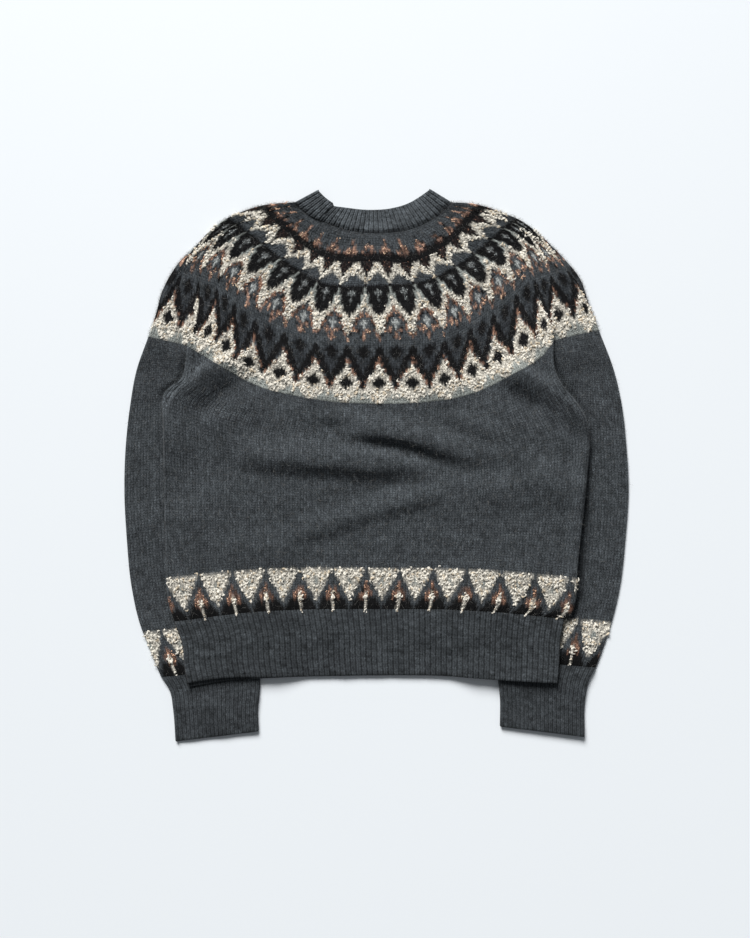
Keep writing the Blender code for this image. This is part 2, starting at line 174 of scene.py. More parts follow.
# The outlines of the solids, but for the hem rib, whose seam and lower edge lie up to 3 and 8 mm higher
outline = {
    "yokeFoldLeft": (
        (-102, 330), (-139, 327), (-176, 315), (-195, 305), (-214, 286), (-251, 249), (-269, 215),
        (-275, 192), (-285, 162),
    ),
    "yokeFoldRight": (
        (95, 330), (124, 328), (161, 316), (180, 308), (199, 294), (236, 259), (255, 235), (267, 201),
        (279, 170),
    ),
    "yokeToBody": (
        (-236, 150), (-211, 135), (-167, 109), (-139, 97), (-106, 89), (-60, 81), (0, 78), (62, 80),
        (99, 85), (132, 95), (166, 112), (209, 139), (222, 156),
    ),
    "neckSeam": (
        (-102, 330), (-81, 312), (-65, 305), (-36, 295), (-5, 291), (19, 292), (40, 295), (59, 302),
        (80, 315), (95, 330),
    ),
    "neckTop": (
        (-74, 345), (-65, 336), (-55, 329), (-34, 323), (-5, 320), (19, 322), (40, 328), (56, 337),
        (69, 346),
    ),
    "sideLeft": (
        (-236, 150), (-238, 129), (-244, 108), (-256, 100), (-265, 90), (-267, 78), (-266, 50), (-265, -5),
        (-262, -126), (-259, -172), (-252, -194),
    ),
    "sideRight": (
        (222, 156), (223, 124), (232, 102), (250, 80), (262, 60), (267, 30), (264, -12), (251, -141),
        (249, -171), (244, -184), (235, -191),
    ),
    "hemSeam": ((-252, -194), (-150, -182), (0, -179), (140, -181.5), (235, -191)),
    "hemLeft": ((-252, -194), (-242, -221), (-239, -252), (-235, -270)),
    "hemRight": ((235, -191), (230, -221), (229, -245), (227, -270)),
    "hemEdge": ((-235, -270), (-194, -264), (-120, -263), (0, -261), (67, -261), (154, -266), (227, -270)),
    "leftSleeveOuter": (
        (-285, 162), (-300, 119), (-308, 74), (-313, 29), (-315, -31), (-312, -91), (-306, -151),
        (-296, -196), (-284, -228), (-269, -264),
    ),
    "leftSleeveInner": ((-228, 138), (-206, 108), (-170, 72), (-148, 20), (-141, -60), (-144, -252)),
    "leftCuffOuter": ((-269, -264), (-258, -282), (-254, -305), (-251, -344)),
    "leftCuffInner": ((-144, -252), (-146, -285), (-148, -305), (-147, -331)),
    "rightSleeveOuter": (
        (279, 170), (298, 119), (308, 74), (313, 29), (316, -25), (312, -91), (305, -151), (296, -190),
        (286, -222), (275, -252),
    ),
    "rightSleeveInner": ((214, 138), (196, 108), (166, 72), (146, 20), (141, -60), (149, -242)),
    "rightCuffOuter": ((275, -252), (266, -270), (262, -290), (261, -338)),
    "rightCuffInner": ((149, -242), (153, -270), (155, -290), (155, -325)),
}
line = {name: curveThrough(spots) for name, spots in outline.items()}


def lapEnds(edge):
    # the foot and the top of a lap, at the start of the line along which the yoke meets the body
    way = (edge[0] - edge[4]) / np.linalg.norm(edge[0] - edge[4])
    return edge[0] + way * (cloth["lapWidth"] - foldRadius), edge[0] - way * foldRadius


lapFootLeft, lapTopLeft = lapEnds(line["yokeToBody"])
lapFootRight, lapTopRight = lapEnds(line["yokeToBody"][::-1])

# What lies under each place


def innerFold(side, y):
    fold = line[side + "SleeveInner"][::-1]
    return np.interp(y, fold[:, 1], fold[:, 0])


def onTable(x, y):
    return np.zeros_like(x)


def onSleeves(x, y):
    total = np.zeros_like(x)
    start, stop = cloth["rampStart"], cloth["rampStart"] + cloth["ramp"]
    for side, sign in (("left", -1), ("right", 1)):
        past = sign * (innerFold(side, y) - x)
        total += cloth["overSleeve"] * (1 - smoothStep(start, stop, past))
    return total


def insideLaps(x):
    return smoothStep(lapFootLeft[0], lapTopLeft[0], x) * smoothStep(lapFootRight[0], lapTopRight[0], x)


def lapped(x, y):
    return onSleeves(x, y) * insideLaps(x) * smoothStep(cloth["lapTop"], cloth["underarm"], y)


frontNeckEdge = line["neckTop"].copy()
frontNeckEdge[:, 1] -= cloth["neckDrop"] * np.sin(math.pi * np.linspace(0, 1, len(frontNeckEdge)))


def covered(x, y):
    # 1 where a lower layer lies under the upper one, 0 inside the front neck's opening
    edge = np.interp(x, frontNeckEdge[:, 0], frontNeckEdge[:, 1], left=np.inf, right=np.inf)
    return 1 - smoothStep(0, cloth["neckSag"], y - edge)


# Folds and softness


def cloudField(wide, tall, knots=72):
    # smooth random heights, with one knot in each wide by tall millimetres
    heights = dice.standard_normal((knots, knots))
    return lambda x, y: onGrid(heights, x / wide + knots / 2, y / tall + knots / 2, eased=True)


drape = {
    "broad": (62, 34, 0.9),  # width, height and depth of the slow undulations
    "fine": (19, 12, 0.28),
    # each fold: its width to the left and to the right along its crest, and the crest's x, y and height
    "folds": (
        (36, 27, (
            (-184, 17, 0), (-145, 13, 7.5), (-90, 9, 11.3), (-30, 5, 12), (20, 2, 10), (52, 0, 6),
            (88, -4, 0),
        )),
        (26, 22, (
            (-52, 40, 0), (-20, 43, 8.5), (20, 41, 13), (56, 34, 12.5), (92, 21, 9), (126, 7, 6),
            (168, -4, 0),
        )),
        (12, 18, ((-38, 29, 0), (-6, 27, -4.5), (34, 21, -5.5), (72, 9, -3.8), (102, -1, 0))),
        (26, 20, (
            (-126, -90, 0), (-80, -80, 3.5), (-40, -68, 4.2), (8, -52, 6), (45, -43, 5.5), (92, -32, 0),
        )),
        (24, 26, ((96, 10, 0), (122, 4, -3.5), (150, -3, -3.5), (178, -8, 0))),
        (28, 44, ((62, -38, 0), (110, -32, 3.5), (160, -26, 4.5), (212, -22, 0))),
        (14, 14, ((-100, 62, 0), (-50, 63, 2.4), (0, 60, 2.4), (25, 57, 0))),
        (16, 20, ((86, 64, 0), (112, 57, 5), (140, 47, 3.5), (160, 40, 0))),
        (10, 36, (
            (-262, -25, 0), (-262, 25, 8), (-259, 62, 8), (-248, 88, 7), (-226, 108, 9.5),
            (-200, 128, 10.5), (-172, 140, 6), (-150, 146, 0),
        )),
        (20, 26, ((-226, 62, 0), (-204, 78, -3), (-182, 96, -3.5), (-160, 108, -2.5), (-140, 112, 0))),
        (14, 30, ((148, 128, 0), (180, 118, 9), (212, 102, 12), (238, 85, 11), (256, 64, 6), (264, 44, 0))),
        (20, 28, ((140, 108, 0), (162, 94, -4), (190, 76, -4.5), (214, 58, -2), (236, 44, 0))),
        (8, 14, (
            (216, 150, 0), (222, 124, 5), (231, 104, 7), (247, 84, 7), (259, 62, 6), (262, 36, 5),
            (262, 0, 0),
        )),
        (9, 16, (
            (259, 30, 0), (258, -10, 7), (254, -60, 8), (251, -110, 7), (248, -150, 6), (244, -178, 0),
        )),
        (30, 50, ((176, -4, 0), (205, -10, 6), (232, -24, 6), (250, -50, 0))),
        (40, 40, ((-250, -90, 0), (-228, -60, 2.5), (-206, -40, 0))),
    ),
    "spots": 41,  # along each crest
    "cap": (8.5, 3.4),  # past the first height they flatten, and rise at most the second above it
}
broadField = cloudField(*drape["broad"][:2])
fineField = cloudField(*drape["fine"][:2])


def softness(x, y):
    return drape["broad"][2] * broadField(x, y) + drape["fine"][2] * fineField(x, y)


def beside(x, y, spots):
    # how far each place lies to the left of a line, how far past its ends, and where along it
    step = np.gradient(spots, axis=0)
    way = step / np.linalg.norm(step, axis=1)[:, None]
    nearest = np.argmin((x[..., None] - spots[:, 0]) ** 2 + (y[..., None] - spots[:, 1]) ** 2, axis=-1)
    dx, dy = x - spots[nearest, 0], y - spots[nearest, 1]
    side = way[nearest, 0] * dy - way[nearest, 1] * dx
    forward = way[nearest, 0] * dx + way[nearest, 1] * dy
    at = nearest + np.clip(forward / np.linalg.norm(step[nearest], axis=-1), -0.5, 0.5)
    atEnd = (nearest == 0) | (nearest == len(spots) - 1)
    return side, np.where(atEnd, forward, 0), at


def foldOn(x, y, above, below, crest):
    crest = np.asarray(crest, float)
    spots = curveThrough(crest[:, :2], drape["spots"])
    far = lengths(crest[:, :2])
    heights = hermite(far / far[-1], crest[:, 2], np.linspace(0, 1, drape["spots"]))
    side, past, at = beside(x, y, spots)
    height = np.interp(at, np.arange(drape["spots"]), heights)
    return height * (1 - smoothStep(0, np.where(side > 0, above, below), np.hypot(side, past)))


def garmentFolds(x, y):
    total = softness(x, y)
    for above, below, crest in drape["folds"]:
        total += foldOn(x, y, above, below, crest)
    start, most = drape["cap"]
    return np.where(total > start, start + most * np.tanh((total - start) / most), total)


# The body's sides press the sleeves down
pressed = {"deep": 3.3, "reach": 11, "fade": (112, 148)}  # and how high up they fade out


def sleeveFolds(x, y):
    total = softness(x, y)
    for side, sign in (("Left", -1), ("Right", 1)):
        edge = np.concatenate([line["side" + side], line["hem" + side][1:]])[::-1]
        out = sign * (x - np.interp(y, edge[:, 1], edge[:, 0]))
        near = 1 - smoothStep(0, pressed["reach"], out)
        total -= pressed["deep"] * near * (1 - smoothStep(*pressed["fade"], y))
    return total


def yokeFolds(x, y):
    return softness(x, y) + (garmentFolds(x, y) - softness(x, y)) * insideLaps(x)


# Knitted patches


def neckDropped(place, fade):
    # the lower layer at the neck lies lower than the upper one, by the fade at each v
    def lower(s, v):
        spots = place(s, v)
        spots[..., 1] -= cloth["neckDrop"] * np.sin(math.pi * s) * fade(v)
        return spots

    return lower


def patchYarns(form, columns, rows):
    # the yarn of each face, frayed into its neighbours, and of each stitch
    wales, courses = form["wales"], form["courses"]
    across, down = np.arange(wales * columns) + 0.5, np.arange(courses * rows) + 0.5
    u, v = np.meshgrid(across / columns, down / rows, indexing="ij")
    u = u + dice.normal(0, cloth["fray"][0], u.shape)
    v = v + dice.normal(0, cloth["fray"][1], v.shape)
    wale = np.clip(np.floor(u).astype(int), 0, wales - 1)
    course = np.clip(np.floor(v).astype(int), 0, courses - 1)
    stitches = form["yarnAt"](*np.meshgrid(np.arange(wales), np.arange(courses), indexing="ij"))
    rust = (stitches == yarnOf["r"]) | (stitches == yarnOf["p"])
    dropped = rust & (dice.random(stitches.shape) < form.get("drops", 0.0))
    stitches = np.where(dropped, dice.choice([yarnOf["c"], yarnOf["k"]], stitches.shape), stitches)
    tone = 1 + dice.standard_normal(stitches.shape) * yarnSpreads[stitches]
    letters = stitches[wale, course]
    spread = cloth["faceTone"] * dice.standard_normal(letters.shape) * yarnSpreads[letters]
    colours = yarnColours[letters] * np.clip(tone[wale, course] * (1 + spread), *cloth["tones"])[..., None]
    padded = np.pad(colours, ((1, 1), (1, 1), (0, 0)), mode="edge")
    soft = (padded[:-1, :-1] + padded[1:, :-1] + padded[:-1, 1:] + padded[1:, 1:]) / 4
    return stitches, soft


def knitPatch(form, upper):
    # one layer of a piece as a grid with the relief of its stitches
    columns, rows = form["upperMesh"] if upper else form["lowerMesh"]
    wales, courses = form["wales"], form["courses"]
    profile = np.asarray(form["profiles"][columns], float)
    swell = np.array([form.get("swell", cloth["swell"]), 1.0]) if rows == 2 else np.array([1.0])
    acrossAt = np.arange(wales * columns + 1) / columns
    downAt = np.arange(courses * rows + 1) / rows
    across, down = np.meshgrid(acrossAt, downAt, indexing="ij")
    inner = np.zeros_like(across)
    inner[1:-1, 1:-1] = 1
    lean = cloth["lean"] * np.abs(2 * (across % 1) - 1)
    lean[:, 0] = lean[:, -1] = 0
    s = (across + cloth["sway"][0] * inner * dice.standard_normal(across.shape)) / wales
    lean = lean + cloth["sway"][1] * inner * dice.standard_normal(across.shape)
    v = form["spacing"](s, np.clip(down - lean, 0, courses))
    place = form["place"] if upper else form.get("lowerPlace", form["place"])
    spots = place(s, v)
    x, y = spots[..., 0], spots[..., 1]
    width = np.linalg.norm(place(np.ones_like(s), v) - place(np.zeros_like(s), v), axis=-1)
    inFrom = np.minimum(s, 1 - s) * width
    rise = np.sqrt(1 - (1 - np.clip(inFrom, 0, foldRadius) / foldRadius) ** 2)
    stand = form["ground"](x, y)
    legs = profile[np.arange(len(acrossAt)) % columns][:, None] * swell[np.arange(len(downAt)) % rows]
    loose = 1 + form.get("uneven", cloth["uneven"]) * dice.standard_normal((wales + 1, courses + 1))
    legs = legs * loose[(across + 1e-6).astype(int), (down + 1e-6).astype(int)]
    relief = form["relief"] * (legs - cloth["sunk"]) * np.minimum(rise + cloth["edgeRelief"], 1)
    # seams pull the cloth down at the patch's first and last course
    topDip, footDip = form.get("dips", (0.0, 0.0))
    scale = cloth["course"] / cloth["seamReach"]
    dip = topDip * np.exp(-((down * scale) ** 2)) + footDip * np.exp(-(((courses - down) * scale) ** 2))
    if upper:
        flat = stand + cloth["wall"] + (cloth["wall"] + cloth["air"]) * covered(x, y)
        flat += form["bulge"](x, y) - dip
        z = stand + foldRadius + (flat - stand - foldRadius) * rise + relief * rise
    else:
        hollows = np.maximum(cloth["sunk"] - legs, 0) * cloth["underRelief"]
        z = stand + foldRadius * (1 - rise) + hollows * rise
    z = np.maximum(z, cloth["least"] if upper else 0)
    stitches, colours = patchYarns(form, columns, rows)
    # painted shade in the groove that a seam's dip makes, darker where it dips deeper
    colours = colours * (1 - np.clip(cloth["seamPaintedShade"] * dip, 0, cloth["seamPaintedShadeMost"]))[..., None]
    # painted light and shade laid over the colours, where a piece has them
    if upper and "marks" in form:
        colours = colours * form["marks"](x, y)[..., None]
    return {
        "points": np.stack([x, y, z], axis=-1),
        "colours": colours,
        "map": np.stack([across, -down], axis=-1),
        "stitches": stitches,
        "upper": upper,
        "mesh": (columns, rows),
    }


# how a rim turns: each row's way outward, its share of the wall's thickness, and its pull in at the folds
rimTurns = ((0.7, 0.18, 0.2), (1.0, 0.5, 0.5), (0.7, 0.82, 0.8), (0.0, 1.0, 1.0))
rimStep = 0.6  # between those rows, in courses


def rimmed(patch, atStart, reach):
    # the open edge is turned over the wall's thickness and runs a short way back inside
    order = slice(None, None, -1 if atStart else 1)
    points, colours, stitchMap = (patch[key][:, order] for key in ("points", "colours", "map"))
    edge = points[:, -1]
    away = edge - points[:, -5]
    away[:, 2] = 0
    away /= np.linalg.norm(away, axis=1)[:, None]
    turn = -cloth["wall"] if patch["upper"] else cloth["wall"]
    added = []
    for out, share, pull in (*rimTurns, (-reach, 1.0, 1.0)):
        row = edge + away * out
        row[:, 2] = np.maximum(edge[:, 2] + turn * share, 0)
        middle = (row[0] + row[-1]) / 2
        for end in (0, -1):
            way = middle - row[end]
            row[end] += way / np.linalg.norm(way) * cloth["wall"] * pull
        added.append(row[:, None])
    step = np.array([0, rimStep if atStart else -rimStep])
    more = {
        "points": [points, *added],
        "colours": [colours] + [colours[:, -1:]] * len(added),
        "map": [stitchMap] + [stitchMap[:, -1:] + step * (k + 1) for k in range(len(added))],
    }
    return {**patch, **{key: np.concatenate(grids, axis=1)[:, order] for key, grids in more.items()}}


def flatSize(place, lowerPlace=None, rim=0.0, count=61):
    # the cut of a knitted piece: its width all round where it has two layers, its length and its flat area
    total, widths, tall = 0.0, 0.0, 0.0
    steps = np.linspace(0, 1, count)
    for lay in (place, lowerPlace):
        if lay is None:
            continue
        grid = lay(*np.meshgrid(steps, steps, indexing="ij"))
        a, b = grid[1:, 1:] - grid[:-1, :-1], grid[1:, :-1] - grid[:-1, 1:]
        total += np.abs(a[..., 0] * b[..., 1] - a[..., 1] * b[..., 0]).sum() / 2
        across = np.linalg.norm(np.diff(grid, axis=0), axis=-1).sum(axis=0)
        widths += across.max()
        tall = max(tall, np.linalg.norm(np.diff(grid, axis=1), axis=-1).sum(axis=1).max())
    length = (tall + rim) * mm
    return (widths * mm, length), (total + widths * rim) * mm * mm


def laySheet(place, lowerPlace=None, rim=0.0):
    flat, area = flatSize(place, lowerPlace, rim)


def makePiece(name, patches, material, node, slot):
    points, faces, colours, maps = [], [], [], []
    first = 0

    def cornersOf(grid):
        corners = [grid[:-1, :-1], grid[:-1, 1:], grid[1:, 1:], grid[1:, :-1]]
        return corners if patch["upper"] else corners[::-1]

    for patch in patches:
        wide, tall = patch["points"].shape[:2]
        ids = first + np.arange(wide * tall).reshape(wide, tall)
        faces.append(np.stack(cornersOf(ids), axis=-1).reshape(-1, 4))
        maps.append(np.stack(cornersOf(patch["map"]), axis=-2).reshape(-1, 2))
        colours.append(np.stack(cornersOf(patch["colours"]), axis=-2).reshape(-1, 3))
        points.append(patch["points"].reshape(-1, 3))
        first += wide * tall
    joined = [np.concatenate(part) for part in (points, faces, colours, maps)]
    return finishPiece(name, *joined, material, node, slot)


def finishPiece(name, points, faces, colours, maps, material, node, slot):
    mesh = bpy.data.meshes.new(name)
    mesh.from_pydata((points * mm).tolist(), [], faces.tolist())
    paint = mesh.color_attributes.new("yarn", "FLOAT_COLOR", "CORNER")
    paint.data.foreach_set("color", np.concatenate([colours, np.ones((len(colours), 1))], axis=1).ravel())
    if maps is not None:
        layer = mesh.uv_layers.new(name="stitches")
        layer.data.foreach_set("uv", maps.astype(np.float32).ravel())
    mesh.shade_smooth()
    mesh.materials.append(material)
    piece = bpy.data.objects.new(name, mesh)
    bpy.context.scene.collection.objects.link(piece)
    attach(piece, "root")
    if node:
        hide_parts(node)
    print(f"{name}: {2 * len(faces)} triangles")
    return piece


# Materials


def newMaterial(name):
    material = bpy.data.materials.new(name)
    material.use_nodes = True
    tree = material.node_tree
    return material, tree, tree.nodes["Principled BSDF"]


def addNode(tree, kind, inputs=None, **settings):
    node = tree.nodes.new(kind)
    for key, value in settings.items():
        setattr(node, key, value)
    for key, value in (inputs or {}).items():
        if isinstance(value, bpy.types.NodeSocket):
            tree.links.new(value, node.inputs[key])
        else:
            node.inputs[key].default_value = value
    return node


def mathNode(tree, operation, a, b=0.0):
    return addNode(tree, "ShaderNodeMath", {0: a, 1: b}, operation=operation).outputs[0]


def product(tree, first, *others):
    for other in others:
        first = mathNode(tree, "MULTIPLY", first, other)
    return first


def humps(tree, value, each):
    # this many round humps for each whole step of the value
    return mathNode(tree, "ABSOLUTE", mathNode(tree, "SINE", product(tree, value, each * math.pi)))


def ranged(tree, value, low, high, span=(0.3, 0.7)):
    # the span of the value, which holds most of a noise, becomes low to high
    inputs = {"Value": value, "From Min": span[0], "From Max": span[1], "To Min": low, "To Max": high}
    return addNode(tree, "ShaderNodeMapRange", inputs).outputs["Result"]


def noise(tree, where, scale, detail=2.0, roughness=0.5):
    inputs = {"Vector": where, "Scale": scale, "Detail": detail, "Roughness": roughness}
    return addNode(tree, "ShaderNodeTexNoise", inputs).outputs["Fac"]


def bump(tree, height, strength, distance, under=None):
    inputs = {"Height": height, "Strength": strength, "Distance": distance}
    if under:
        inputs["Normal"] = under
    return addNode(tree, "ShaderNodeBump", inputs).outputs["Normal"]


yarnSpecular = 0.2


def yarnMaterial(name, roughness, sheen):
    # a rough material whose colour is in the mesh
    material, tree, shader = newMaterial(name)
    shader.inputs["Roughness"].default_value = roughness
    shader.inputs["Sheen Weight"].default_value = sheen
    shader.inputs["Specular IOR Level"].default_value = yarnSpecular
    yarn = addNode(tree, "ShaderNodeAttribute", attribute_name="yarn").outputs["Color"]
    where = addNode(tree, "ShaderNodeTexCoord").outputs["Object"]
    return material, tree, shader, yarn, where


def finishMaterial(tree, shader, yarn, tone, normal):
    toned = addNode(tree, "ShaderNodeVectorMath", {0: yarn, "Scale": tone}, operation="SCALE")
    tree.links.new(toned.outputs["Vector"], shader.inputs["Base Color"])
    tree.links.new(normal, shader.inputs["Normal"])


knitLooks = {
    "roughness": 0.95,
    "sheenRoughness": 0.45,
    "mottleScale": 620.0,  # blots of the heather, per metre
    "mottleUp": 1.15,  # how much further they go paler than darker
    "fleckScale": 1100.0,
    "fleckSpan": (0.56, 0.72),  # the part of that noise that makes pale flecks
    "cloudScale": 42.0,
    "clouds": 0.1,  # how much slow clouds change the tone
    "streak": 0.10,  # how much the courses differ from each other
    "streakStretch": (0.14, 1.0, 1.0),
    "legs": ((2, 0.6), (1, 0.4)),  # humps in each wale, and their share
    # the tops of the legs are painted this much paler than their yarn as a painted highlight, and between
    # the legs the colour falls to a painted shade
    "paintedLegLight": 1.25,
    "legShadeUneven": (0.7, 1.3),  # how unevenly the painted shade and highlight of the legs show
    "legBump": (0.55, 0.0006),  # strength, and depth in metres
    "fibreScale": 2600.0,
    "fibreBump": (0.35, 0.0004),
}


def knitMaterial(name, mottle, flecks, paintedGapShade, tint=1.0, swells=0.6, sheen=0.08):
    looks = knitLooks
    material, tree, shader, yarn, where = yarnMaterial(name, looks["roughness"], sheen)
    shader.inputs["Sheen Roughness"].default_value = looks["sheenRoughness"]
    uv = addNode(tree, "ShaderNodeUVMap", uv_map="stitches").outputs["UV"]
    # heather: blots, slow clouds and streaks along the courses
    blots = noise(tree, where, looks["mottleScale"], 3.0, 0.62)
    tone = ranged(tree, blots, tint * (1 - mottle), tint * (1 + mottle * looks["mottleUp"]))
    clouds = noise(tree, where, looks["cloudScale"], 3.0)
    clouds = ranged(tree, clouds, 1 - looks["clouds"], 1 + looks["clouds"])
    alongCourses = {0: uv, 1: looks["streakStretch"]}
    alongCourses = addNode(tree, "ShaderNodeVectorMath", alongCourses, operation="MULTIPLY")
    streaks = noise(tree, alongCourses.outputs["Vector"], 0.9, 2.0)
    streaks = ranged(tree, streaks, 1 - looks["streak"], 1 + looks["streak"])
    tone = product(tree, tone, clouds, streaks)
    # two legs in each wale, and a swell in each course
    parts = addNode(tree, "ShaderNodeSeparateXYZ", {"Vector": uv}).outputs
    legs = (product(tree, humps(tree, parts["X"], each), share) for each, share in looks["legs"])
    swell = mathNode(tree, "ADD", product(tree, humps(tree, parts["Y"], 1), swells), 1 - swells)
    legShape = product(tree, mathNode(tree, "ADD", *legs), swell)
    # painted shade in the gaps between the legs and a painted highlight on their tops, made uneven by the
    # blots
    legShadeUneven = product(tree, legShape, ranged(tree, blots, *looks["legShadeUneven"], span=(0.35, 0.65)))
    shade = ranged(tree, legShadeUneven, paintedGapShade, looks["paintedLegLight"], span=(0.0, 0.8))
    fleck = noise(tree, where, looks["fleckScale"], 1.0)
    fleck = ranged(tree, fleck, 1.0, 1.0 + flecks, span=looks["fleckSpan"])
    legBump = bump(tree, legShape, *looks["legBump"])
    fibres = bump(tree, noise(tree, where, looks["fibreScale"]), *looks["fibreBump"], under=legBump)
    finishMaterial(tree, shader, yarn, product(tree, tone, shade, fleck), fibres)
    return material


bodyKnit = knitMaterial("charcoalKnit", mottle=0.56, flecks=1.4, paintedGapShade=0.42, tint=0.88)
# the hem rib and cuffs are toned darker than the body as painted shade of their deep ribs, and the neckband
# paler as painted light on its raised double layer
shadedRibKnit = knitMaterial("shadedRibbedKnit", mottle=0.26, flecks=0.9, paintedGapShade=0.34, tint=0.72, swells=0.25)
shadedCuffKnit = knitMaterial("shadedCuffKnit", mottle=0.34, flecks=0.9, paintedGapShade=0.34, tint=0.70, swells=0.15)
litNeckKnit = knitMaterial("litNeckKnit", mottle=0.26, flecks=0.9, paintedGapShade=0.34, tint=1.16, swells=0.25, sheen=0.10)
yokeKnit = knitMaterial("yokeKnit", mottle=0.42, flecks=0.8, paintedGapShade=0.5)


strandLooks = {"mottleScale": 900.0, "fibreScale": 3200.0, "fibreBump": (0.4, 0.0003)}


def strandMaterial(name, roughness, sheen, mottle):
    # loops and loose fibres
    material, tree, shader, yarn, where = yarnMaterial(name, roughness, sheen)
    tone = ranged(tree, noise(tree, where, strandLooks["mottleScale"]), 1 - mottle, 1 + mottle)
    fibres = bump(tree, noise(tree, where, strandLooks["fibreScale"]), *strandLooks["fibreBump"])
    finishMaterial(tree, shader, yarn, tone, fibres)
    return material


loopYarn = strandMaterial("loopYarn", 0.9, 0.15, 0.22)
looseFibre = strandMaterial("looseFibre", 0.9, 0.1, 0.3)


# Stitch profiles across a wale, for each number of columns in it
plainWale = {4: (0.0, 1.0, 0.42, 1.0), 2: (0.2, 1.0)}
ribWale = {6: (0.0, 0.75, 1.0, 0.42, 1.0, 0.75), 3: (0.0, 1.0, 1.0)}


def allCharcoal(wale, course):
    return np.full(np.broadcast(wale, course).shape, yarnOf["c"])


def evenRows(courses):
    return lambda s, down: down / courses


def rowsFromFoot(place, courses, pitch, power=2.2):
    # courses of an even height near the foot of a piece, which open out or close up above
    def spacing(s, down):
        reach = np.linalg.norm(place(s, np.zeros_like(s)) - place(s, np.ones_like(s)), axis=-1)
        up = courses - down
        far = pitch * up + (reach - pitch * courses) * (up / courses) ** power
        return 1 - far / reach

    return spacing


def charted(rows, repeat, shift=0):
    # the yarn of each stitch, from half a repeat, which is mirrored about its first stitch and stretched
    chart = np.array([[yarnOf[letter] for letter in row] for row in rows])

    def yarnAt(wale, course):
        place = (wale + shift) % repeat
        near = np.minimum(place, repeat - place) * (chart.shape[1] - 1) / (repeat // 2)
        return chart[np.clip(course, 0, len(chart) - 1), np.rint(near).astype(int)]

    return yarnAt


# The yoke: half repeats, from the tulip's middle to halfway to the next, top course first
yoke = {
    "repeats": 17,
    "courses": 72,
    "upperMesh": (4, 2),
    "lowerMesh": (2, 1),
    "relief": 1.0,
    "dips": (1.7, 0.5),  # at the neck and at the body
    "drops": 0.42,  # share of the rust stitches that are lost among their neighbours
    "charts": (
        (6, (
            "cccc", "cccc", "cccc", "cccp", "cccp", "cccp", "ccpp", "ccpp", "cppp", "kknn", "kkkk", "kkkk",
        )),
        (8, (
            "kkknk", "wwkkn", "wwknk", "wwwkn", "wwwnk", "cwwwk", "ccwwk", "cccww", "ccccw", "ccccw",
        )),
        (10, (
            "ccccck", "kkkkkk", "kkkkkg", "skkkkg", "sskkkg", "skkkgg", "kkkkgw", "skkkgw", "kkkkgw",
            "kkkgww", "kkkwwr", "kkkwwr", "kkwwrr", "kwwrrc",
        )),
        (12, (
            "wwwrrcc", "wwwrccb", "wwrrcbb", "wwrcccb", "wwrcpcb", "wwrpppc", "wrccpcp", "rpccccp",
            "pccccpp", "pcccccp", "ccccccc", "ccccccc", "kcccddk", "kkccdkk", "kkcdkkk", "kkcddkk",
            "kkkcdkk", "rkkkddk", "rkkkddd", "rrkkddd", "wrkkkdd", "wrkkkdd", "wwrkkkd", "wwrkkkd",
            "wwwrkkk", "kwwwrkk", "kkwwrkk", "kkkwwrk", "kkkwwrk", "kkwwwrk", "kwwwwwr", "wwwwwww",
            "wwwwwgw", "gwwwggw", "wwwgggg", "wwggggg",
        )),
    ),
    # the left lap's strip: cream stitches, partly a painted highlight, and beside them black stitches that
    # are a painted shadow of the lap's edge
    "strip": {"wale": 18, "rows": (18, 34), "paintedShadow": (2, 4), "paintedShadowUntil": 31},
    "hidden": {"at": -7, "reach": 0.17, "share": 0.78, "below": 0.7},  # a lap hides part of this repeat
    "lapSpots": 60,
    "laySpots": (681, 361),  # of the grid that holds the yoke's lay, across and down
    # How the rows of the yoke lie: the place of each level, and its spots at these repeats from the middle
    "at": (-8, -7, -6, -4, -2, 0, 2, 4, 6, 7, 8),
    "neckX": (-99.5, -95, -88, -68, -36, -1, 30, 64, 82, 88, 93),
    "edgeX": (-266, -240, -224, -170, -86, 2, 88, 163, 217, 232, 266),
    "levels": (
        (0.082, (
            (-122, 324), (-119, 321), (-105, 310), (-81, 289), (-42, 276), (0, 275), (41, 275), (81, 293),
            (100, 312), (107, 320), (112, 325),
        )),
        (0.24, (
            (-156, 314), (-150, 309), (-136, 294), (-92, 262), (-55, 242), (0, 241), (52, 242), (95, 265),
            (131, 296), (145, 309), (152, 314),
        )),
        (0.363, (
            (-189, 300), (-180, 294), (-162, 282), (-115, 246), (-64, 219), (1, 217), (64, 225), (117, 251),
            (161, 287), (174, 297), (182, 302),
        )),
        (0.53, (
            (-225, 269), (-211, 262), (-189, 252), (-141, 215), (-74, 184), (3, 179), (80, 187), (139, 221),
            (186, 260), (205, 265), (216, 270),
        )),
        (0.883, (
            (-261, 187), (-230, 176), (-210, 170), (-160, 131), (-80, 109), (2, 104), (84, 109), (151, 136),
            (209, 177), (226, 189), (261, 199),
        )),
    ),
}


def yokeEdge():
    # the body's line, and on either side of it the way from the lap's foot to the fold
    ends = ((outline["yokeFoldLeft"][-1], lapFootLeft), (lapFootRight, outline["yokeFoldRight"][-1]))
    left, right = (np.linspace(*pair, yoke["lapSpots"]) for pair in ends)
    return np.concatenate([left, line["yokeToBody"], right])


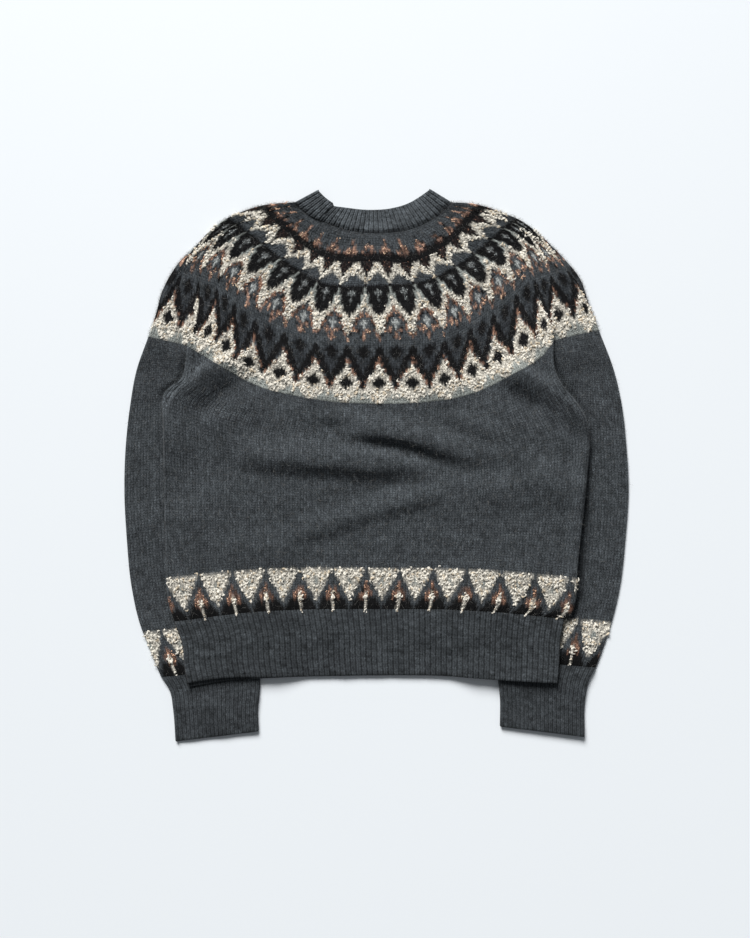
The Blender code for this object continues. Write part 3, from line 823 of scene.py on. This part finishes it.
def yokeLay():
    # place(s, t) over the yoke, from the levels on which its rows lie
    half = yoke["repeats"] / 2
    repeats = np.array([-half, *yoke["at"], half])
    folds = (line["yokeFoldLeft"], line["yokeFoldRight"])
    across, down = np.linspace(-half, half, yoke["laySpots"][0]), np.linspace(0, 1, yoke["laySpots"][1])
    near = across - yoke["hidden"]["at"]
    squeezed = across - near * yoke["hidden"]["share"] * np.exp(-((near / yoke["hidden"]["reach"]) ** 2))

    def onLine(base, inner):
        x = hermite(repeats, np.array([base[0, 0], *inner, base[-1, 0]], float), squeezed)
        order = np.argsort(base[:, 0], kind="stable")
        return np.stack([x, np.interp(x, base[order, 0], base[order, 1])], axis=-1)

    levels = [(0.0, onLine(line["neckSeam"], yoke["neckX"]))]
    for share, spots in yoke["levels"]:
        ends = [along(fold, np.array([share])) for fold in folds]
        knots = np.concatenate([ends[0], np.array(spots, float), ends[1]])
        places = squeezed if share > yoke["hidden"]["below"] else across
        levels.append((share, hermite(repeats, knots, places)))
    levels.append((1.0, onLine(yokeEdge(), yoke["edgeX"])))
    table = hermite(*(np.array(part) for part in zip(*levels)), down)
    for column, fold in zip((0, -1), folds):
        table[:, column] = along(fold, down)
    last = np.array(table.shape[:2]) - 1
    return lambda s, t: onGrid(table, np.clip(t, 0, 1) * last[0], np.clip(s, 0, 1) * last[1])


def lapStrip(yarnAt):
    # where the left lap crosses a repeat only a strip of it shows; that cream strip is partly the motif and
    # partly a painted highlight on the lap's edge, and the black line beside it is a painted shadow
    strip = yoke["strip"]

    def lapYarnAt(wale, course):
        at = wale - strip["wale"]
        inRows = (course >= strip["rows"][0]) & (course < strip["rows"][1])
        found = np.where(inRows & (np.abs(at) <= 1), yarnOf["w"], yarnAt(wale, course))
        paintedShadow = inRows & (at >= strip["paintedShadow"][0]) & (at <= strip["paintedShadow"][1]) & (course < strip["paintedShadowUntil"])
        return np.where(paintedShadow, yarnOf["k"], found)

    return lapYarnAt


def zoneOf(place, first, count):
    return lambda s, v: place(s, (first + v * count) / yoke["courses"])


def yokePlaces(upper):
    place = yokeLay()
    return place if upper else neckDropped(place, lambda t: 1 - t)


def yokePatches(upper):
    place = yokePlaces(upper)
    made = []
    first = 0
    for stitches, rows in yoke["charts"]:
        yarnAt = charted(rows, stitches, shift=stitches // 2)
        last = first + len(rows) == yoke["courses"]
        topDip, footDip = yoke["dips"]
        form = {
            **yoke,
            "wales": yoke["repeats"] * stitches,
            "courses": len(rows),
            "profiles": plainWale,
            "place": zoneOf(place, first, len(rows)),
            "ground": lapped,
            "bulge": yokeFolds,
            "spacing": evenRows(len(rows)),
            "yarnAt": lapStrip(yarnAt) if last else yarnAt,
            "dips": (topDip if first == 0 else 0, footDip if last else 0),
        }
        made.append(knitPatch(form, upper))
        first += len(rows)
    return made


# Loops of curly yarn, each the upper side of a short bent tube, joined into one mesh.
# Each yarn's row: its colour, tufts on a stitch, their length, thickness and lift from and to, and how much
# they turn, differ in shade and bend
tuftFields = ("rgb", "each", "long", "thick", "lift", "turn", "shade", "bend")
tuftRows = {
    "w": ((219, 213, 200), 1.5, (3.4, 6.4), (0.85, 1.4), (0.4, 1.7), 0.75, 0.16, 0.3),
    "r": ((222, 176, 146), 1.1, (1.8, 3.4), (0.3, 0.6), (0.3, 1.0), 0.8, 0.4, 0.25),
    "p": ((234, 190, 160), 1.5, (1.8, 3.4), (0.3, 0.55), (0.3, 1.0), 0.8, 0.35, 0.25),
    "n": ((186, 137, 112), 0.8, (1.6, 3.0), (0.3, 0.55), (0.3, 0.8), 0.8, 0.3, 0.25),
    "g": ((170, 173, 167), 1.0, (2.6, 4.8), (0.22, 0.42), (0.3, 1.1), 0.6, 0.16, 0.2),
    "s": ((172, 176, 175), 1.7, (1.8, 2.8), (0.34, 0.52), (0.2, 0.6), 0.3, 0.14, 0.1),
    "b": ((176, 180, 179), 1.5, (1.8, 2.8), (0.4, 0.65), (0.2, 0.7), 0.3, 0.12, 0.1),
}
tufts = {letter: dict(zip(tuftFields, row)) for letter, row in tuftRows.items()}
tuftLay = {
    "scatter": 0.5,
    "sunk": 0.25,
    "tapersFrom": 0.4,
    "ends": 0.45,  # their thickness at the tips, as a share of that in the middle
    "shades": (0.55, 1.3),
    "palest": 0.92,
}
tuftArch = {"angles": (-105, -38, 38, 105), "flat": 0.54}
# some of the cream loops are of a warmer yarn
warm = {"rgb": (196, 182, 160), "share": 0.2}
# beside black, loops are shorter and fewer, so that the black shapes keep their outline
nearBlack = {"share": 0.5, "long": 0.55, "thick": 0.75, "lift": 0.7, "scatter": 0.5}


def tuftsOn(patches):
    # middles, directions, yarns and sizes for the tufts of every patch
    found = []
    for patch in patches:
        columns, rows = patch["mesh"]
        grid, stitches = patch["points"], patch["stitches"]
        wales, courses = stitches.shape
        black = np.pad(stitches == yarnOf["k"], 1)
        beside = black[:-2, 1:-1] | black[2:, 1:-1] | black[1:-1, :-2] | black[1:-1, 2:]
        for letter, look in tufts.items():
            wale, course = np.nonzero(stitches == yarnOf[letter])
            count = int(look["each"] * len(wale))
            if not count:
                continue
            pick = dice.integers(0, len(wale), count)
            near = beside[wale[pick], course[pick]] & (letter not in "sb")
            pick = pick[~near | (dice.random(count) < nearBlack["share"])]
            w, k = wale[pick], course[pick]
            i = np.minimum(w * columns + dice.integers(0, columns + 1, len(pick)), wales * columns)
            j = np.minimum(k * rows + dice.integers(0, rows + 1, len(pick)), courses * rows - 1)
            letters = np.full(len(pick), yarnOf[letter])
            small = beside[w, k] & (letter not in "sb")
            found.append((grid[i, j], grid[i, j + 1] - grid[i, j], letters, small))
    return [np.concatenate(part) for part in zip(*found)]


def makeTufts(name, middles, alongs, letters, small, steps=4):
    count = len(middles)

    def looks(field):
        return np.array([tufts.get(key, tufts["w"])[field] for key in yarnLetters], float)[letters]

    def drawn(field):
        low, high = looks(field).T
        return low + (high - low) * dice.random(count)

    length = drawn("long") * np.where(small, nearBlack["long"], 1)
    thick = drawn("thick") * np.where(small, nearBlack["thick"], 1)
    lift = drawn("lift") * np.where(small, nearBlack["lift"], 1)
    flat = alongs[:, :2] / np.linalg.norm(alongs[:, :2], axis=1)[:, None]
    angle = dice.normal(0, 1, count) * looks("turn")
    way = np.stack([
        flat[:, 0] * np.cos(angle) - flat[:, 1] * np.sin(angle),
        flat[:, 0] * np.sin(angle) + flat[:, 1] * np.cos(angle),
        np.zeros(count),
    ], axis=1)
    side = np.stack([-way[:, 1], way[:, 0], np.zeros(count)], axis=1)
    bend = dice.normal(0, 1, count) * looks("bend") * length
    middles = middles.copy()
    scatter = dice.normal(0, tuftLay["scatter"], (count, 2))
    middles[:, :2] += scatter * np.where(small, nearBlack["scatter"], 1)[:, None]
    t = np.linspace(-1, 1, steps)
    core = middles[:, None] + way[:, None] * (length / 2)[:, None, None] * t[None, :, None]
    core += side[:, None] * (bend[:, None] * (1 - t**2))[..., None]
    core[..., 2] += lift[:, None] * (1 - t**2) - tuftLay["sunk"]
    radius = thick[:, None] * np.interp(np.abs(t), [0, tuftLay["tapersFrom"], 1], [1, 1, tuftLay["ends"]])
    # only the upper side of a loop is made, as an arch of four points and a little flattened
    arch = np.radians(tuftArch["angles"])
    up = np.array([0, 0, tuftArch["flat"]])
    ring = side[:, None, None] * np.sin(arch)[:, None] + up * np.cos(arch)[:, None]
    points = core[:, :, None] + ring * radius[:, :, None, None]
    spots = len(arch)
    ids = np.arange(count * steps * spots).reshape(count, steps, spots)
    corners = [ids[:, :-1, :-1], ids[:, :-1, 1:], ids[:, 1:, 1:], ids[:, 1:, :-1]]
    faces = np.stack(corners, axis=-1).reshape(-1, 4)
    shade = np.clip(1 + dice.normal(0, 1, count) * looks("shade"), *tuftLay["shades"])
    warmed = (letters == yarnOf["w"]) & (dice.random(count) < warm["share"])
    colours = np.where(warmed[:, None], linear(warm["rgb"]), linear(looks("rgb")))
    colours = np.minimum(colours * shade[:, None], tuftLay["palest"])
    colours = np.repeat(colours, (steps - 1) * (spots - 1) * 4, axis=0)
    return finishPiece(name, points.reshape(-1, 3), faces, colours, None, loopYarn, None, "yoke_knit")


# Loose fibres that stand off the knit, each a narrow bent ribbon
fuzz = {
    "long": (2.5, 8.0),
    "wide": (0.10, 0.18),
    "lift": (0.4, 2.4),
    "fewLong": 1.6,  # above 1, fewer of them are long, or high
    "fewHigh": 2,
    "curl": 0.9,
    "taper": (1, 1, 0.8, 0.3),  # their width from root to tip
    "arch": 0.62,  # how far they arch over, where 1 brings the tip back down
    "paler": (150, 148, 143),  # their colour is part way from the yarn's to this one
    "palerShare": 0.4,
    "palerSpread": (0.4, 1.2),  # the least of that share, and how much more it may be
    "clear": 0.2,  # how far their roots stand off the knit
    "rimLong": 0.55,  # along the shoulders they are shorter and paler
    "rimPaler": 0.85,
    "rimTurn": 0.8,
    "yoke": 5200,
    "yokeRim": 1800,
    "body": 5200,
    "sleeve": 1500,
}


def hairOn(patches, count, rimCount=0):
    # roots, headings and colours of loose fibres on these patches, and which are on a rim
    found = []
    total = sum(patch["stitches"].size for patch in patches)
    for patch in patches:
        grid, shades = patch["points"], patch["colours"]
        wide, tall = grid.shape[:2]
        own = int(count * patch["stitches"].size / total)
        i, j = dice.integers(0, wide, own), dice.integers(0, tall, own)
        found.append((grid[i, j], dice.random(own) * 2 * math.pi, shades[i, j], np.zeros(own, bool)))
        rim = int(rimCount * tall / sum(p["points"].shape[1] for p in patches))
        for edge, inward in ((0, 1), (-1, -2)):
            j = dice.integers(0, tall, rim // 2)
            out = grid[edge, j] - grid[inward * 4, j]
            heading = np.arctan2(out[:, 1], out[:, 0]) + dice.normal(0, fuzz["rimTurn"], len(j))
            found.append((grid[edge, j], heading, shades[edge, j], np.ones(len(j), bool)))
    return [np.concatenate(part) for part in zip(*found)]


def makeHair(name, roots, headings, colours, rims, slot):
    count, steps = len(roots), len(fuzz["taper"])

    def drawn(field, power):
        low, high = fuzz[field]
        return low + (high - low) * dice.random(count) ** power

    length = drawn("long", fuzz["fewLong"]) * np.where(rims, fuzz["rimLong"], 1)
    wide, lift = drawn("wide", 1), drawn("lift", fuzz["fewHigh"])
    t = np.linspace(0, 1, steps)
    turned = headings[:, None] + dice.normal(0, fuzz["curl"], count)[:, None] * t[None, 1:]
    step = np.stack([np.cos(turned), np.sin(turned)], axis=-1) * (length / (steps - 1))[:, None, None]
    core = np.repeat(roots[:, None], steps, axis=1)
    core[:, 1:, :2] += np.cumsum(step, axis=1)
    core[..., 2] += lift[:, None] * np.sin(math.pi * fuzz["arch"] * t) + fuzz["clear"]
    side = np.stack([-np.sin(turned), np.cos(turned)], axis=-1)
    half = wide[:, None] * np.array(fuzz["taper"]) / 2
    side = np.concatenate([side[:, :1], side], axis=1) * half[..., None]
    points = np.stack([core, core], axis=2)
    points[:, :, 0, :2] -= side
    points[:, :, 1, :2] += side
    ids = np.arange(count * steps * 2).reshape(count, steps, 2)
    faces = np.stack([ids[:, :-1, 0], ids[:, 1:, 0], ids[:, 1:, 1], ids[:, :-1, 1]], axis=-1).reshape(-1, 4)
    least, more = fuzz["palerSpread"]
    elsewhere = fuzz["palerShare"] * (least + more * dice.random(count))
    share = np.where(rims, fuzz["rimPaler"], elsewhere)[:, None]
    shades = colours * (1 - share) + linear(fuzz["paler"]) * share
    shades = np.repeat(shades, (steps - 1) * 4, axis=0)
    return finishPiece(name, points.reshape(-1, 3), faces, shades, None, looseFibre, None, slot)


yokeTop = yokePatches(True)
yokeBack = makePiece("yokeBack", yokeTop, yokeKnit, "yoke", "yoke_knit")
yokeUnder = yokePatches(False)
yokeFront = makePiece("yokeFront", yokeUnder, yokeKnit, "yoke", "yoke_knit")
yokeLoops = makeTufts("yokeLoops", *tuftsOn(yokeTop))
yokeFuzz = makeHair("yokeFuzz", *hairOn(yokeTop, fuzz["yoke"], fuzz["yokeRim"]), "yoke_knit")
laySheet(yokePlaces(True))
laySheet(yokePlaces(False))
print("yoke knitted")


# The body, with a band of small trees above the hem
body = {
    "wales": 146,
    "courses": 90,
    "pitch": 3.1,  # height of a course at the hem
    "upperMesh": (4, 1),
    "lowerMesh": (2, 1),
    "relief": cloth["legHeight"],
    "dips": (0.5, 1.0),
    "band": (
        "cwwwwww", "ccwwwww", "ccwwwww", "ccwwwwg", "cccwwwg", "rccwwgg", "rcccwww", "rrccwww", "rrcccww",
        "wrrccww", "wrrcccw", "wrrkccw", "wkkkkcc", "wkkkkcc", "wkkkkkc", "wkkkkkc",
    ),
    "bandRepeat": 12,
    "bandShift": 1,
    "drops": 0.26,
}


def bandAt(sizes):
    # charcoal, with the rows of the band as the last courses
    inBand = charted(body["band"], sizes["bandRepeat"], sizes["bandShift"])

    def yarnAt(wale, course):
        down = course - (sizes["courses"] - len(body["band"]))
        return np.where(down >= 0, inBand(wale, np.maximum(down, 0)), yarnOf["c"])

    return yarnAt


# the left armhole is fashioned along a slanting double row of stitches with small holes; the rows carry a
# painted highlight of their raised stitches and the holes a painted shade
fashioned = {
    "line": ((-208, 140), (-232, 116), (-253, 93), (-265, 75)),
    "rows": 2.5,  # how far each row lies from the middle
    "wide": 1.5,
    "light": 0.75,  # how much paler the rows are, a painted highlight
    "holes": 0.8,  # how much darker the holes between them are, a painted shade
    "pitch": 6.2,  # from hole to hole
    "ending": 4,  # how softly the rows run out past their ends
    "spots": 41,
}


def fashionPaintedLight(x, y):
    spots = curveThrough(fashioned["line"], fashioned["spots"])
    side, past, at = beside(x, y, spots)
    ending = np.exp(-((past / fashioned["ending"]) ** 2))
    rows = np.exp(-(((np.abs(side) - fashioned["rows"]) / fashioned["wide"]) ** 2))
    far = at / (fashioned["spots"] - 1) * lengths(spots)[-1]
    holes = np.exp(-((side / fashioned["wide"]) ** 2)) * (np.cos(2 * math.pi * far / fashioned["pitch"]) > 0)
    return 1 + (fashioned["light"] * rows - fashioned["holes"] * holes) * ending


bodyPlace = between(line["yokeToBody"], line["hemSeam"], line["sideLeft"], line["sideRight"], hold=4)
bodyForm = {
    **body,
    "profiles": plainWale,
    "place": bodyPlace,
    "ground": onSleeves,
    "bulge": garmentFolds,
    "spacing": rowsFromFoot(bodyPlace, body["courses"], body["pitch"]),
    "yarnAt": bandAt(body),
    "marks": fashionPaintedLight,
}
bodyTop = knitPatch(bodyForm, True)
bodyBack = makePiece("bodyBack", [bodyTop], bodyKnit, "back_panel", "body_knit")
bodyUnder = knitPatch(bodyForm, False)
bodyFront = makePiece("bodyFront", [bodyUnder], bodyKnit, "front_panel", "body_knit")
print("body knitted")


# The sleeves, with the same band above the cuff
sleeves = {
    **body,
    "wales": 44,
    "courses": 128,
    "pitch": 3.5,
    "bandRepeat": 13,
    "bandShift": 7,
}


def sidesOf(side, part):
    # the lines down the left and the right of a sleeve or a cuff
    outer, inner = line[side + part + "Outer"], line[side + part + "Inner"]
    return (outer, inner) if side == "left" else (inner, outer)


sleevePatches = []
for side, foot in (("left", lapFootLeft), ("right", lapFootRight)):
    ends = sidesOf(side, "Sleeve")
    bend = np.array([ends[0][0], foot, ends[1][0]])
    far = lengths(bend)
    shares = np.linspace(0, far[-1], lineSpots)
    top = np.stack([np.interp(shares, far, bend[:, k]) for k in (0, 1)], axis=1)
    place = between(top, np.linspace(ends[0][-1], ends[1][-1], lineSpots), *ends)
    form = {
        **sleeves,
        "profiles": plainWale,
        "place": place,
        "ground": onTable,
        "bulge": sleeveFolds,
        "spacing": rowsFromFoot(place, sleeves["courses"], sleeves["pitch"]),
        "yarnAt": bandAt(sleeves),
    }
    patches = [knitPatch(form, True), knitPatch(form, False)]
    sleevePatches.append(patches[0])
    piece = makePiece(side + "Sleeve", patches, bodyKnit, side + "_sleeve", "body_knit")
    laySheet(place, place)
print("sleeves knitted")


# the tufts at the head and the foot of each stem: their course, how many, how far down they reach and stray
stemTufts = ((-7, 8, 5.0, 1.3), (-1, 4, 3.0, 0.6))
stemLift = (0, 0, 0.8)
stemRun = 4  # courses over which a stem's direction is taken


def stems(patch):
    # the stems of the trees are thick at their heads and run over the rib below them
    columns, rows = patch["mesh"]
    wales = np.nonzero(patch["stitches"][:, -1] == yarnOf["w"])[0]
    found = []
    for course, each, reach, stray in stemTufts:
        i = np.repeat(wales * columns + columns // 2, each)
        at, before = patch["points"][i, course * rows], patch["points"][i, (course - stemRun) * rows]
        way = (at - before) / np.linalg.norm(at - before, axis=1)[:, None]
        spots = at + way * (dice.random(len(i)) * reach)[:, None] + stemLift
        spots[:, 0] += dice.normal(0, stray, len(i))
        found.append((spots, way, np.full(len(i), yarnOf["w"]), np.full(len(i), course == -1)))
    return [np.concatenate(part) for part in zip(*found)]


bandTufts = zip(tuftsOn([bodyTop, *sleevePatches]), *(stems(patch) for patch in (bodyTop, *sleevePatches)))
bandLoops = makeTufts("bandLoops", *(np.concatenate(pair) for pair in bandTufts))
bodyHair = zip(hairOn([bodyTop], fuzz["body"]), hairOn(sleevePatches, 2 * fuzz["sleeve"]))
bodyFuzz = makeHair("bodyFuzz", *(np.concatenate(pair) for pair in bodyHair), "body_knit")
laySheet(bodyPlace)
laySheet(bodyPlace)

# The ribs at the hem, the neck and the cuffs
ribs = {
    "hem": {"wales": 70, "courses": 27, "relief": 1.4, "dips": (0.9, 0.3)},
    "neck": {"wales": 34, "courses": 11, "relief": 1.8, "dips": (0.3, 1.7)},
    "cuff": {"wales": 21, "courses": 25, "relief": 0.5, "dips": (1.0, 0.3)},
    "all": {"upperMesh": (6, 2), "lowerMesh": (3, 1), "uneven": 0.1, "swell": 0.8, "profiles": ribWale},
    "rim": 16.0,  # how far the turned edge runs back inside
}
# the neckband's left end is folded over along a crease that falls from its top edge to its seam
neckFold = {
    "top": (-55, 328),
    "foot": (-67, 309),
    "height": 2.4,  # how much higher the folded part lies
    "edge": 1.2,
    "notch": 3.5,  # how much lower the band starts past the crease
    "notchEdge": (-0.5, 1.5),
    "reach": 14,
    "softness": 0.5,
}


def pastCrease(x, y):
    (topX, topY), (footX, footY) = neckFold["top"], neckFold["foot"]
    return x - footX - (y - footY) * (topX - footX) / (topY - footY)


def neckBulge(x, y):
    past = pastCrease(x, y)
    over = 1 - smoothStep(-neckFold["edge"], neckFold["edge"], past)
    return neckFold["height"] * over + neckFold["softness"] * softness(x, y)


def neckNotched(place):
    # past the crease the band starts a little lower
    def upper(s, v):
        spots = place(s, v)
        past = pastCrease(spots[..., 0], spots[..., 1])
        drop = smoothStep(*neckFold["notchEdge"], past) * np.exp(-np.maximum(past, 0) / neckFold["reach"])
        spots[..., 1] -= neckFold["notch"] * drop * (1 - v)
        return spots

    return upper


def makeRib(name, kind, place, ground, bulge, node, openAtTop=False, lowerPlace=None, knit=shadedRibKnit):
    form = {
        **ribs["all"],
        **ribs[kind],
        "place": place,
        "lowerPlace": lowerPlace or place,
        "ground": ground,
        "bulge": bulge,
        "spacing": evenRows(ribs[kind]["courses"]),
        "yarnAt": allCharcoal,
    }
    patches = [rimmed(knitPatch(form, upper), openAtTop, ribs["rim"]) for upper in (True, False)]
    piece = makePiece(name, patches, knit, node, "rib_knit")
    laySheet(place, lowerPlace or place, rim=ribs["rim"] + cloth["wall"])
    return piece


hemLifts = (
    # above, below, crest with heights, where the hem crosses a cuff
    (30, 30, ((-246, -265, 1.2), (-215, -266, 1.5), (-180, -265, 1.0), (-140, -263, 0))),
    (30, 30, ((140, -266, 0), (175, -268, 2.0), (205, -268, 2.6), (228, -266, 2.2))),
)


def hemFolds(x, y):
    return softness(x, y) + sum(foldOn(x, y, *lift) for lift in hemLifts)


hemPlace = between(line["hemSeam"], line["hemEdge"], line["hemLeft"], line["hemRight"])
hemPeek = {"drop": 5.4, "from": -246, "to": -90}  # the front's hem shows below the back's on the left


def hemUnder(s, v):
    spots = hemPlace(s, v)
    spots[..., 1] -= hemPeek["drop"] * v * (1 - smoothStep(hemPeek["from"], hemPeek["to"], spots[..., 0]))
    return spots


makeRib("hemRib", "hem", hemPlace, onSleeves, hemFolds, "hem_rib",
        lowerPlace=hemUnder)
neckEnds = (np.linspace(line["neckTop"][k], line["neckSeam"][k], lineSpots) for k in (0, -1))
neckPlace = between(line["neckTop"], line["neckSeam"], *neckEnds)
makeRib("neckRib", "neck", neckNotched(neckPlace), onTable, neckBulge, "neckband", openAtTop=True,
        lowerPlace=neckDropped(neckPlace, np.ones_like), knit=litNeckKnit)
for side in ("left", "right"):
    ends = sidesOf(side, "Cuff")
    place = between(*(np.linspace(ends[0][k], ends[1][k], lineSpots) for k in (0, -1)), *ends)
    makeRib(side + "Cuff", "cuff", place, onTable, softness, side + "_cuff", knit=shadedCuffKnit)
print("ribs knitted")


# The table, the light and the camera
studio = {
    "floor": (236, 240, 243),
    "floorSize": 6.0,
    "floorRoughness": 0.7,
    "floorSpecular": 0.2,
    "floorAt": -0.0002,  # just below the knit
    "world": (240, 246, 252),
    "worldStrength": 0.17,
    "sun": 4.15,
    "sunAngle": 30.0,  # degrees across, for soft shadows
    "sunFrom": (-0.38, 1.0, 0.76),
    "glow": 10.5,  # a small lamp above the neck
    "glowSize": 1.0,
    "glowAt": (-0.3, 1.7, 1.5),
    "lens": 85.0,
    "sensor": 36.0,
    "frameWidth": 937.5,  # of what the camera sees on the table, in millimetres
    "lookAt": (-1.25, -3.75, 6.0),
}


def makeFloor():
    material, tree, shader = newMaterial("paleTable")
    shader.inputs["Base Color"].default_value = (*linear(studio["floor"]), 1)
    shader.inputs["Roughness"].default_value = studio["floorRoughness"]
    shader.inputs["Specular IOR Level"].default_value = studio["floorSpecular"]
    half = studio["floorSize"] / 2
    mesh = bpy.data.meshes.new("table")
    corners = [(-half, -half, 0), (half, -half, 0), (half, half, 0), (-half, half, 0)]
    mesh.from_pydata(corners, [], [(0, 1, 2, 3)])
    mesh.materials.append(material)
    floor = bpy.data.objects.new("table", mesh)
    floor.location.z = studio["floorAt"]
    bpy.context.scene.collection.objects.link(floor)


def makeLight(name, kind, energy, at, **settings):
    data = bpy.data.lights.new(name, kind)
    data.energy = energy
    for key, value in settings.items():
        setattr(data, key, value)
    light = bpy.data.objects.new(name, data)
    light.location = at
    light.rotation_euler = (math.atan2(math.hypot(at[0], at[1]), at[2]), 0, math.atan2(at[0], -at[1]))
    bpy.context.scene.collection.objects.link(light)


def makeWorld():
    world = bpy.data.worlds.new("studio")
    world.use_nodes = True
    background = world.node_tree.nodes["Background"]
    background.inputs["Color"].default_value = (*linear(studio["world"]), 1)
    background.inputs["Strength"].default_value = studio["worldStrength"]
    bpy.context.scene.world = world


def makeCamera():
    data = bpy.data.cameras.new("camera")
    data.lens = studio["lens"]
    data.sensor_width = studio["sensor"]
    data.sensor_fit = "HORIZONTAL"
    camera = bpy.data.objects.new("camera", data)
    x, y, z = studio["lookAt"]
    distance = studio["frameWidth"] * studio["lens"] / studio["sensor"]
    camera.location = (x * mm, y * mm, (z + distance) * mm)
    bpy.context.scene.collection.objects.link(camera)
    bpy.context.scene.camera = camera


makeFloor()
makeWorld()
makeLight("sun", "SUN", studio["sun"], studio["sunFrom"], angle=math.radians(studio["sunAngle"]))
makeLight("glow", "AREA", studio["glow"], studio["glowAt"], shape="DISK", size=studio["glowSize"])
makeCamera()
bpy.context.scene.view_settings.view_transform = "Standard"
